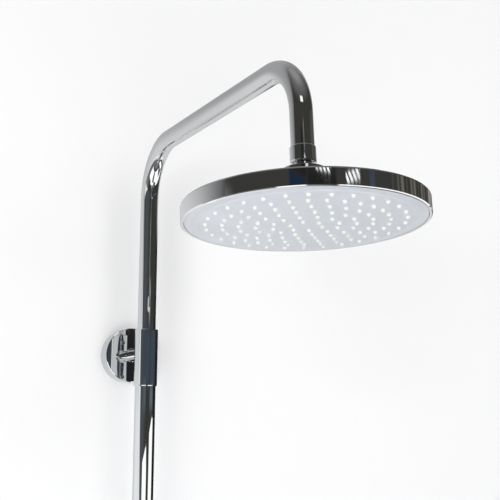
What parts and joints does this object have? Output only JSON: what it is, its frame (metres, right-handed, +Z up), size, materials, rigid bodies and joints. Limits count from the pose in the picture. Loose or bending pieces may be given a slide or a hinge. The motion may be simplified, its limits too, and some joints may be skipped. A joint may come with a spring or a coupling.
{
  "type": "shower system",
  "caption": "Chrome shower riser on a round wall bracket, with a telescopic swan-neck arm and a flat round rain head on a ball joint.",
  "frame": {"origin": "centre of the wall plate's back face, on the wall's plane", "axes": "+Y into the wall, +Z up along the riser, +X to the right along the wall for someone who faces it"},
  "size_m": [0.225, 0.5765, 0.5398],
  "materials": {
    "chrome": "polished",
    "brass": "machined",
    "steel": "brushed",
    "black_rubber": "matt",
    "white_silicone": "soft satin",
    "white_plastic": "matt",
    "grey_face": "satin"
  },
  "bodies": {
    "wall_bracket": {"wall_plate": "steel", "riser_bracket": "chrome", "stem_screw": "steel", "sleeve_screw": "steel", "top_liner": "white_plastic", "lower_tube": "chrome", "tail_piece": "brass", "inlet_washer": "black_rubber"},
    "rosette_cover": {"rosette": "chrome", "rosette_bush": "chrome"},
    "height_lock": {"height_screw": "steel"},
    "inlet_union": {"inlet_nut": "chrome"},
    "height_slide": {"guide_bush": "white_plastic", "bush_rings": "black_rubber"},
    "arm": {"spigot_ring": "black_rubber", "upper_tube": "chrome", "outlet_nipple": "brass", "filter_washer": "black_rubber", "filter_mesh": "steel", "flow_disc": "white_plastic", "ball_stem": "chrome"},
    "head_union": {"union_nut": "chrome"},
    "nod_seat": {"inner_seat": "white_plastic"},
    "side_seat": {"outer_seat": "steel"},
    "head": {"head_shell": "chrome", "retaining_ring": "chrome", "ball_seal": "black_rubber", "face_plate": "grey_face", "nozzle_mat": "white_silicone", "backing_plate": "white_plastic", "mat_screws": "steel", "face_gasket": "black_rubber"}
  },
  "joints": [
    {"name": "rosette_slide", "type": "slide", "parent": "wall_bracket", "child": "rosette_cover", "axis": [0, -1, 0], "range_m": [0, 0.03]},
    {"name": "height_lock_turn", "type": "hinge", "parent": "wall_bracket", "child": "height_lock", "pos_m": [0, -0.056, 0.018], "axis": [0, 1, 0], "range_deg": [0, 360]},
    {"name": "inlet_nut_turn", "type": "hinge", "parent": "wall_bracket", "child": "inlet_union", "pos_m": [0, -0.07, -0.2665], "axis": [0, 0, 1], "continuous": true},
    {"name": "arm_height", "type": "slide", "parent": "wall_bracket", "child": "height_slide", "axis": [0, 0, 1], "range_m": [-0.05, 0.1]},
    {"name": "arm_swivel", "type": "hinge", "parent": "height_slide", "child": "arm", "pos_m": [0, -0.07, 0], "axis": [0, 0, 1], "range_deg": [-80, 80]},
    {"name": "union_nut_turn", "type": "hinge", "parent": "arm", "child": "head_union", "pos_m": [0, -0.45938, 0.15772], "axis": [0, 0.0799, 0.9968], "continuous": true},
    {"name": "head_nod", "type": "hinge", "parent": "arm", "child": "nod_seat", "pos_m": [0, -0.46109, 0.13639], "axis": [1, 0, 0], "range_deg": [-8, 8]},
    {"name": "head_side_tilt", "type": "hinge", "parent": "nod_seat", "child": "side_seat", "pos_m": [0, -0.46109, 0.13639], "axis": [0, 0.9968, -0.0799], "range_deg": [-8, 8]},
    {"name": "head_spin", "type": "hinge", "parent": "side_seat", "child": "head", "pos_m": [0, -0.46109, 0.13639], "axis": [0, 0.0799, 0.9968], "continuous": true}
  ]
}
